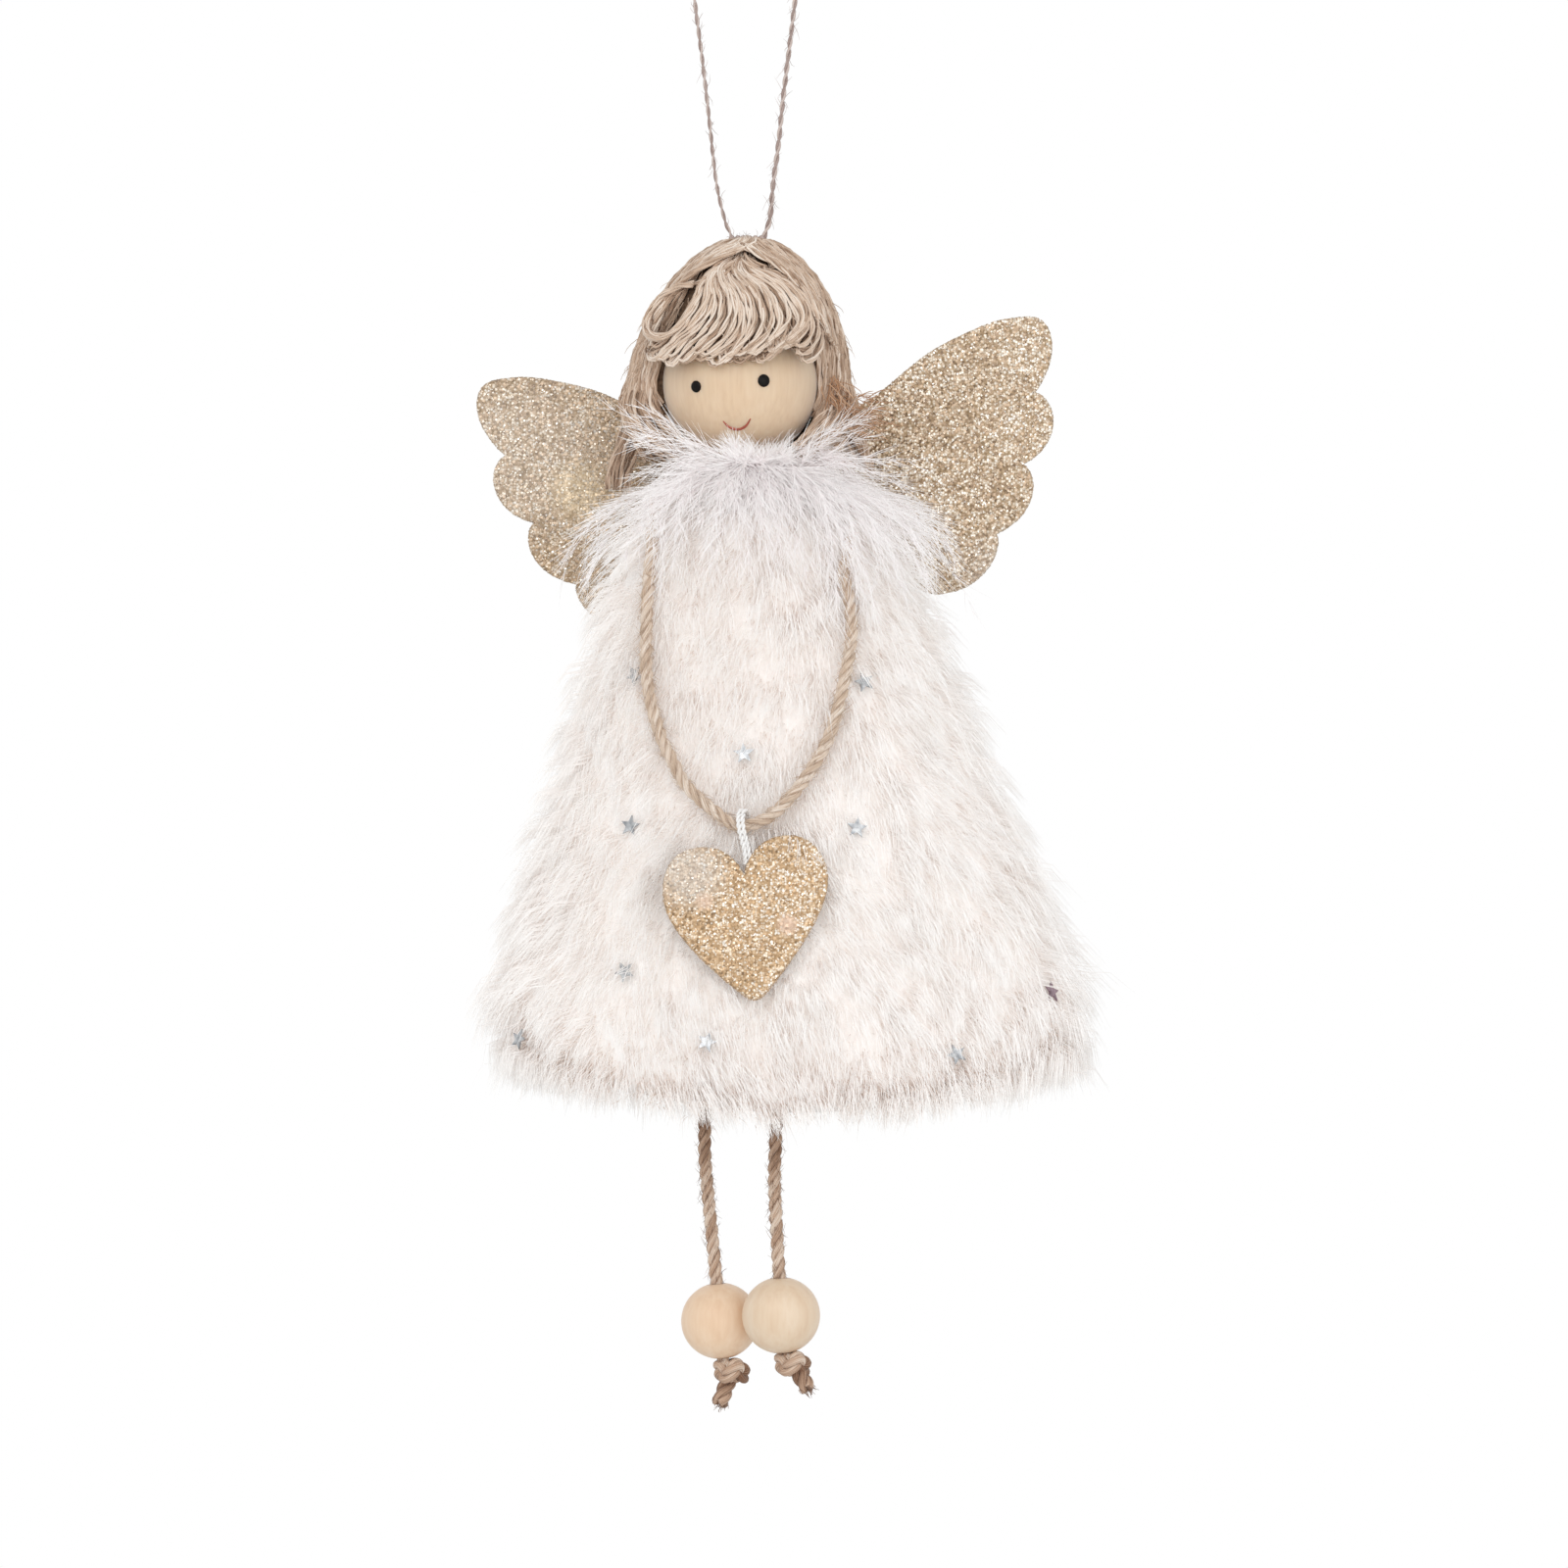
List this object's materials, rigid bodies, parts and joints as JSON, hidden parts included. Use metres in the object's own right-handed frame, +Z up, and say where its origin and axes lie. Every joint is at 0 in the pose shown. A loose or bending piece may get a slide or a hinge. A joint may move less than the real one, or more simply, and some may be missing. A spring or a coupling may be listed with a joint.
{
  "type": "hanging angel doll",
  "caption": "Hanging angel doll: wooden ball head with yarn hair, stuffed white fur dress, glitter wings and heart, cord legs ending in wooden beads, hung by a twine loop.",
  "frame": {"origin": "the hang point, at the inside of the crown of the twine loop, where a hook or twig carries the doll", "axes": "+Z up along the hanging doll, +X to the viewer's right when the doll faces the viewer, -Y out of the doll's face"},
  "size_m": [0.0981, 0.0594, 0.2364],
  "materials": {
    "twine": "fine hairy natural twine",
    "jute": "twisted natural jute cord",
    "head_wood": "smooth pale wood, light varnish",
    "bead_wood": "smooth pale wood",
    "hair": "loose looped yarn",
    "fur": "white short-pile fur fabric",
    "base_cloth": "plain cloth",
    "wadding": "loose stuffing",
    "feather": "fluffy down feathers",
    "wing_glitter": "coarse champagne glitter foam sheet",
    "heart_glitter": "coarse gold glitter foam sheet",
    "thread": "white thread",
    "foil": "silver foil confetti"
  },
  "bodies": {
    "loop": {"hanging_loop": "twine"},
    "crown": {"crown_knot": "twine"},
    "doll": {"head_ball": "head_wood", "neck_twine": "twine", "neck_anchor_knot": "twine", "hair_cap": "hair", "hair_fringe": "hair", "hair_lock_left": "hair", "hair_lock_right": "hair", "dress_shell": "fur", "dress_base": "base_cloth", "dress_stuffing": "wadding", "left_leg_anchor": "jute", "right_leg_anchor": "jute", "feather_collar": "feather", "wing_pair": "wing_glitter", "necklace_band": "jute", "star_01": "foil", "star_02": "foil", "star_03": "foil", "star_04": "foil", "star_05": "foil", "star_06": "foil", "star_07": "foil", "star_08": "foil", "star_09": "foil", "star_10": "foil", "star_11": "foil", "star_12": "foil", "star_13": "foil", "star_14": "foil", "star_15": "foil", "star_16": "foil"},
    "necklace": {"necklace_loop": "jute"},
    "heart_hanger": {"heart_thread": "thread"},
    "heart": {"heart": "heart_glitter"},
    "left_hip": {"left_leg_hip": "jute"},
    "left_leg": {"left_leg_cord": "jute", "left_foot_knot": "jute"},
    "left_bead": {"left_foot_bead": "bead_wood"},
    "right_hip": {"right_leg_hip": "jute"},
    "right_leg": {"right_leg_cord": "jute", "right_foot_knot": "jute"},
    "right_bead": {"right_foot_bead": "bead_wood"}
  },
  "joints": [
    {"name": "doll_swing", "type": "hinge", "parent": "loop", "child": "crown", "pos_m": [0, 0, -0.0471], "axis": [1, 0, 0], "range_deg": [-50, 50]},
    {"name": "doll_turn", "type": "hinge", "parent": "crown", "child": "doll", "pos_m": [-0.0009, 0, -0.0492], "axis": [0, 0, 1], "range_deg": [-90, 90], "stiffness_Nm_per_rad": 0.0002},
    {"name": "necklace_lift", "type": "hinge", "parent": "doll", "child": "necklace", "pos_m": [0.00004, -0.01425, -0.10095], "axis": [-0.9949, 0.1005, 0.0007], "range_deg": [0, 60]},
    {"name": "heart_sway", "type": "hinge", "parent": "necklace", "child": "heart_hanger", "pos_m": [-0.00022, -0.02417, -0.14203], "axis": [0, 0.9874, -0.1585], "range_deg": [-25, 25]},
    {"name": "heart_tilt", "type": "hinge", "parent": "heart_hanger", "child": "heart", "pos_m": [0.00028, -0.02512, -0.14795], "axis": [-1, 0, 0], "range_deg": [0, 15]},
    {"name": "left_hip_swing", "type": "hinge", "parent": "doll", "child": "left_hip", "pos_m": [-0.0067, 0.00415, -0.18692], "axis": [1, 0, 0], "range_deg": [0, 60]},
    {"name": "left_leg_spread", "type": "hinge", "parent": "left_hip", "child": "left_leg", "pos_m": [-0.0067, 0.00415, -0.18692], "axis": [0, 1, 0], "range_deg": [0, 60], "stiffness_Nm_per_rad": 0.0005},
    {"name": "left_bead_slide", "type": "slide", "parent": "left_leg", "child": "left_bead", "axis": [-0.0936, 0, 0.9956], "range_m": [0, 0.012]},
    {"name": "right_hip_swing", "type": "hinge", "parent": "doll", "child": "right_hip", "pos_m": [0.0049, -0.00415, -0.18781], "axis": [-1, 0, 0], "range_deg": [0, 60]},
    {"name": "right_leg_spread", "type": "hinge", "parent": "right_hip", "child": "right_leg", "pos_m": [0.0049, -0.00415, -0.18781], "axis": [0, -1, 0], "range_deg": [0, 60], "stiffness_Nm_per_rad": 0.0005},
    {"name": "right_bead_slide", "type": "slide", "parent": "right_leg", "child": "right_bead", "axis": [-0.0499, 0, 0.9988], "range_m": [0, 0.012]}
  ]
}
